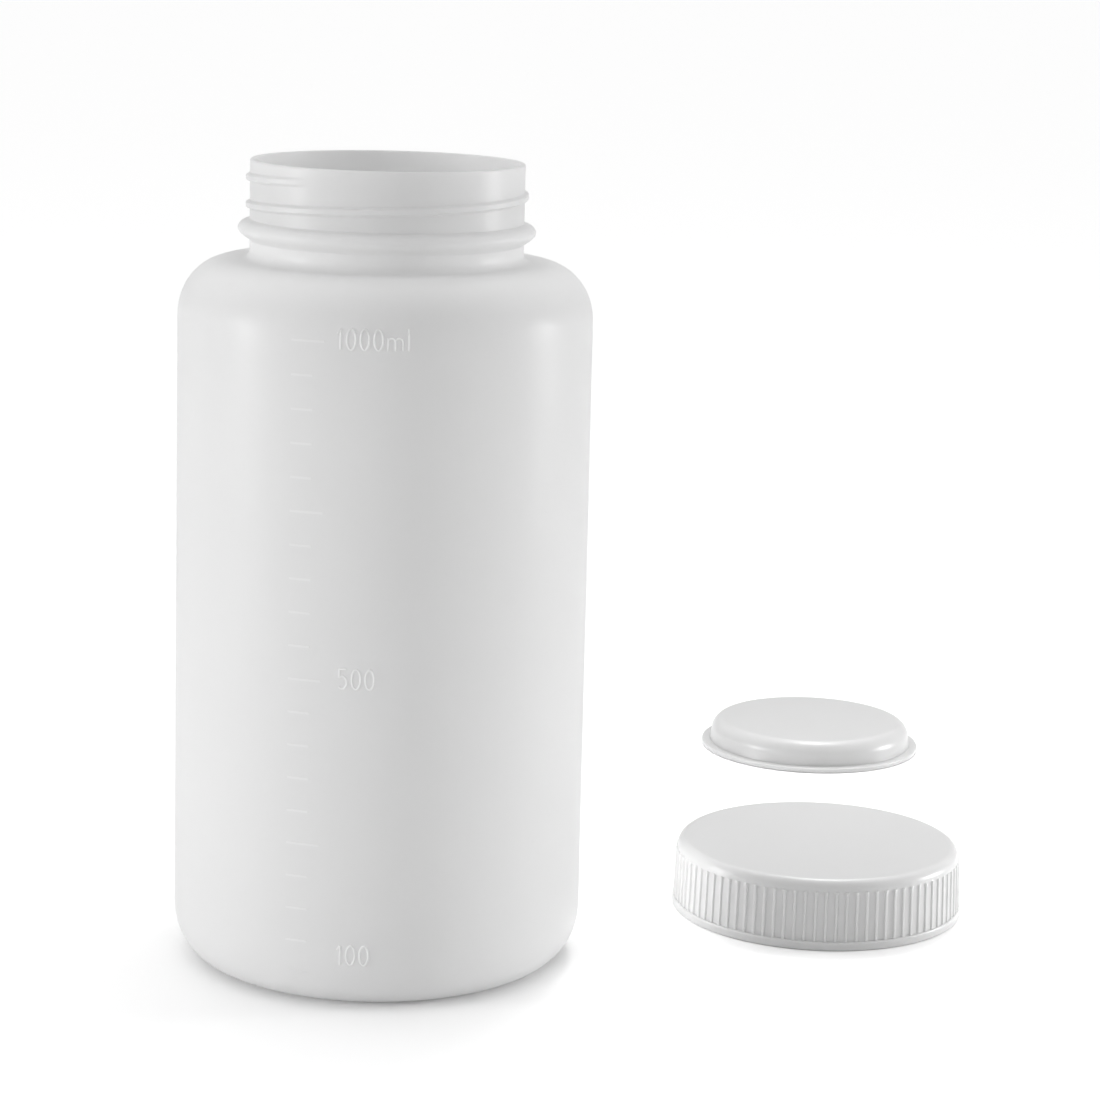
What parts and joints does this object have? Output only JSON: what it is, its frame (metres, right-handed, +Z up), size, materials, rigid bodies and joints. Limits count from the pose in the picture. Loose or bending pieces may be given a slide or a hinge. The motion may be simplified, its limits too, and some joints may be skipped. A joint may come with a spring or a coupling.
{
  "type": "reagent bottle",
  "caption": "Wide-mouth plastic reagent bottle with a ribbed screw cap and a cup-shaped inner plug, shown open with both beside it; holds powders and liquids.",
  "frame": {"origin": "on the bottle's axis, at the plane that it stands on, 1.5 mm under the shallow base panel", "axes": "+Z up along the bottle's axis; -Y towards the volume marks; the cap and the plug lie on the +X side"},
  "size_m": [0.2062, 0.2642, 0.1839],
  "materials": {
    "bottle_plastic": "milky translucent high-density polyethylene, satin",
    "plug_plastic": "white polyethylene, soft satin",
    "cap_plastic": "white polypropylene, satin"
  },
  "bodies": {
    "bottle": {"bottle": "bottle_plastic"},
    "screw_cap": {"screw_cap": "cap_plastic"},
    "inner_plug": {"inner_plug": "plug_plastic"}
  },
  "joints": [
    {"name": "cap_lift", "type": "slide", "parent": "bottle", "child": "screw_cap", "axis": [0, 0, 1], "range_m": [0, 0.2]},
    {"name": "plug_lift", "type": "slide", "parent": "bottle", "child": "inner_plug", "axis": [0, 0, 1], "range_m": [0, 0.2]}
  ]
}
